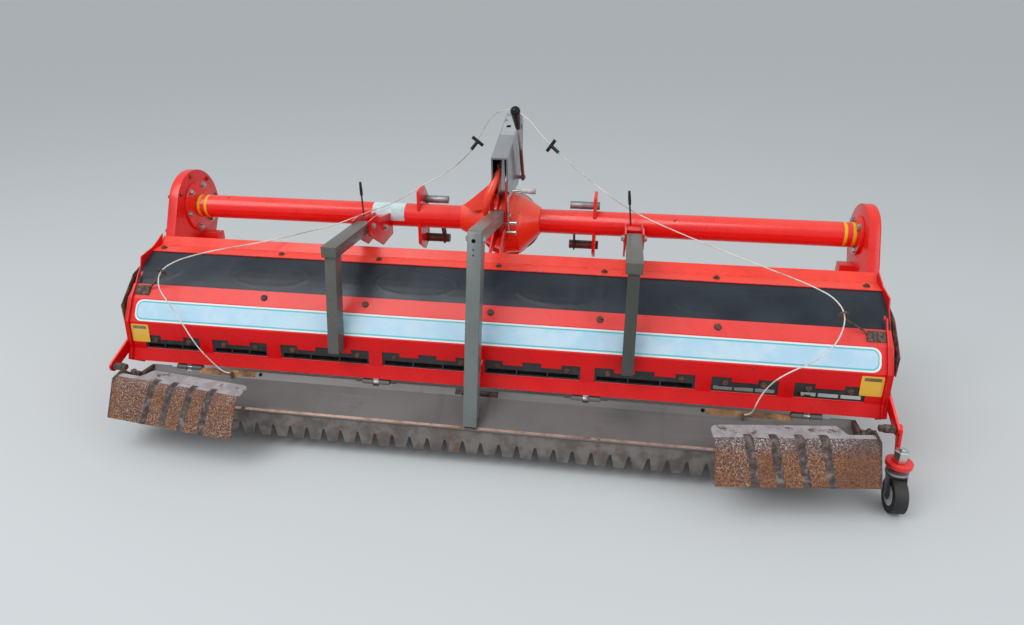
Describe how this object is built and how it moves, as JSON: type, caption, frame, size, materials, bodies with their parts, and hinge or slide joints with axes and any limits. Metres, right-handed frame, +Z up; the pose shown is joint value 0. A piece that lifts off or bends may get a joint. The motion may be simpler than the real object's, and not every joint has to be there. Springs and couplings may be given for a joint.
{
  "type": "power harrow",
  "caption": "Tractor-mounted rotary drive harrow for paddy fields with a tined rotor, hood, hinged levelling board and folding side levellers.",
  "frame": {"origin": "centre of the machine's box, on the floor it stands on", "axes": "+X across the machine to its right, +Y forward to the tractor, +Z up"},
  "size_m": [2.234, 0.9706, 0.894],
  "materials": {
    "red_paint": "gloss enamel, sun-faded where it faces up",
    "grey_paint": "satin grey-green enamel",
    "zinc": "zinc plated",
    "guard_plastic": "matt",
    "tine_steel": "soil-polished, rusty",
    "rubber_sheet": "semi-gloss dark sheet",
    "liner_plastic": "matt",
    "rusty_plate": "speckled rust",
    "bare_plate": "worn plate with a coppery edge",
    "grip": "soft grip",
    "rope": "braided cord",
    "cream_paint": "satin",
    "tyre": "matt",
    "wheel_plastic": "matt",
    "black_paint": "satin black"
  },
  "bodies": {
    "frame": {"beam_left": "red_paint", "beam_right": "red_paint", "chain_case": "red_paint", "bearing_support": "red_paint", "gearbox": "red_paint", "input_cover": "grey_paint", "pto_guard": "guard_plastic", "top_cover": "red_paint", "rubber_cover": "rubber_sheet", "rear_panel": "red_paint", "slot_inserts": "liner_plastic", "end_plates": "red_paint", "side_guards": "rusty_plate", "leveller_hangers": "zinc", "hitch_plates": "red_paint", "upper_pins": "zinc", "lower_pins": "zinc", "mast": "grey_paint", "mast_bracket": "red_paint", "hood_stay": "red_paint", "arm_pivot": "zinc", "lock_handle": "zinc", "side_bars": "grey_paint", "side_arms": "grey_paint", "saddles": "grey_paint", "rope_left": "rope", "rope_right": "rope", "rope_handles": "grip", "rope_guides": "rusty_plate", "front_stand_left": "zinc", "front_stand_right": "zinc", "rear_stand_stem": "rusty_plate", "rear_stand_arm": "red_paint", "rear_brackets": "red_paint"},
    "rotor": {"rotor_shaft": "tine_steel", "rotor_tines": "tine_steel"},
    "pto": {"pto_shaft": "zinc"},
    "board": {"leveller": "bare_plate", "rake": "tine_steel", "fold_brackets": "rusty_plate", "latch_bracket": "rusty_plate"},
    "arm": {"centre_arm": "grey_paint"},
    "side_leveller_left": {"wing_left": "rusty_plate"},
    "side_leveller_right": {"wing_right": "rusty_plate"},
    "caster_front_left": {"front_fork_left": "cream_paint"},
    "caster_front_right": {"front_fork_right": "cream_paint"},
    "caster_rear": {"rear_fork": "black_paint"},
    "wheel_front_left": {"front_tyre_left": "tyre", "front_hub_left": "wheel_plastic"},
    "wheel_front_right": {"front_tyre_right": "tyre", "front_hub_right": "wheel_plastic"},
    "wheel_rear": {"rear_tyre": "tyre", "rear_hub": "wheel_plastic"},
    "lever": {"coupler_lever": "zinc", "lever_knob": "grip"}
  },
  "joints": [
    {"name": "rotor_spin", "type": "hinge", "parent": "frame", "child": "rotor", "pos_m": [0, 0.0862, 0.23195], "axis": [-1, 0, 0], "continuous": true},
    {"name": "pto_spin", "type": "hinge", "parent": "frame", "child": "pto", "pos_m": [0, 0.4031, 0.485], "axis": [0, 1, 0], "continuous": true},
    {"name": "leveller_tilt", "type": "hinge", "parent": "frame", "child": "board", "pos_m": [0, -0.2379, 0.173], "axis": [-1, 0, 0], "range_deg": [0, 25]},
    {"name": "centre_arm_swing", "type": "hinge", "parent": "frame", "child": "arm", "pos_m": [-0.005, 0.1431, 0.571], "axis": [-1, 0, 0], "range_deg": [0, 5.5]},
    {"name": "side_leveller_left_fold", "type": "hinge", "parent": "board", "child": "side_leveller_left", "pos_m": [-1.018, -0.3238, 0.1645], "axis": [-0.0462, -0.7306, -0.6813], "range_deg": [0, 176]},
    {"name": "side_leveller_right_fold", "type": "hinge", "parent": "board", "child": "side_leveller_right", "pos_m": [1.018, -0.3238, 0.1645], "axis": [-0.0462, 0.7306, 0.6813], "range_deg": [0, 60]},
    {"name": "caster_front_left_swivel", "type": "hinge", "parent": "frame", "child": "caster_front_left", "pos_m": [-1.042, 0.34708, 0.1], "axis": [0, 0, 1], "continuous": true},
    {"name": "caster_front_right_swivel", "type": "hinge", "parent": "frame", "child": "caster_front_right", "pos_m": [1.042, 0.34708, 0.1], "axis": [0, 0, 1], "continuous": true},
    {"name": "caster_rear_swivel", "type": "hinge", "parent": "frame", "child": "caster_rear", "pos_m": [1.085, -0.3489, 0.1], "axis": [0, 0, 1], "continuous": true},
    {"name": "wheel_front_left_spin", "type": "hinge", "parent": "caster_front_left", "child": "wheel_front_left", "pos_m": [-1.042, 0.32508, 0.045], "axis": [-1, 0, 0], "continuous": true},
    {"name": "wheel_front_right_spin", "type": "hinge", "parent": "caster_front_right", "child": "wheel_front_right", "pos_m": [1.042, 0.32508, 0.045], "axis": [-1, 0, 0], "continuous": true},
    {"name": "wheel_rear_spin", "type": "hinge", "parent": "caster_rear", "child": "wheel_rear", "pos_m": [1.085, -0.3709, 0.045], "axis": [-1, 0, 0], "continuous": true},
    {"name": "coupler_lever_swing", "type": "hinge", "parent": "frame", "child": "lever", "pos_m": [0.04, 0.3431, 0.645], "axis": [-1, 0, 0], "range_deg": [0, 20]}
  ],
  "couplings": [
    {"joint": "pto_spin", "follows": "rotor_spin", "ratio": 1.8},
    {"joint": "centre_arm_swing", "follows": "leveller_tilt", "ratio": 0.2}
  ]
}
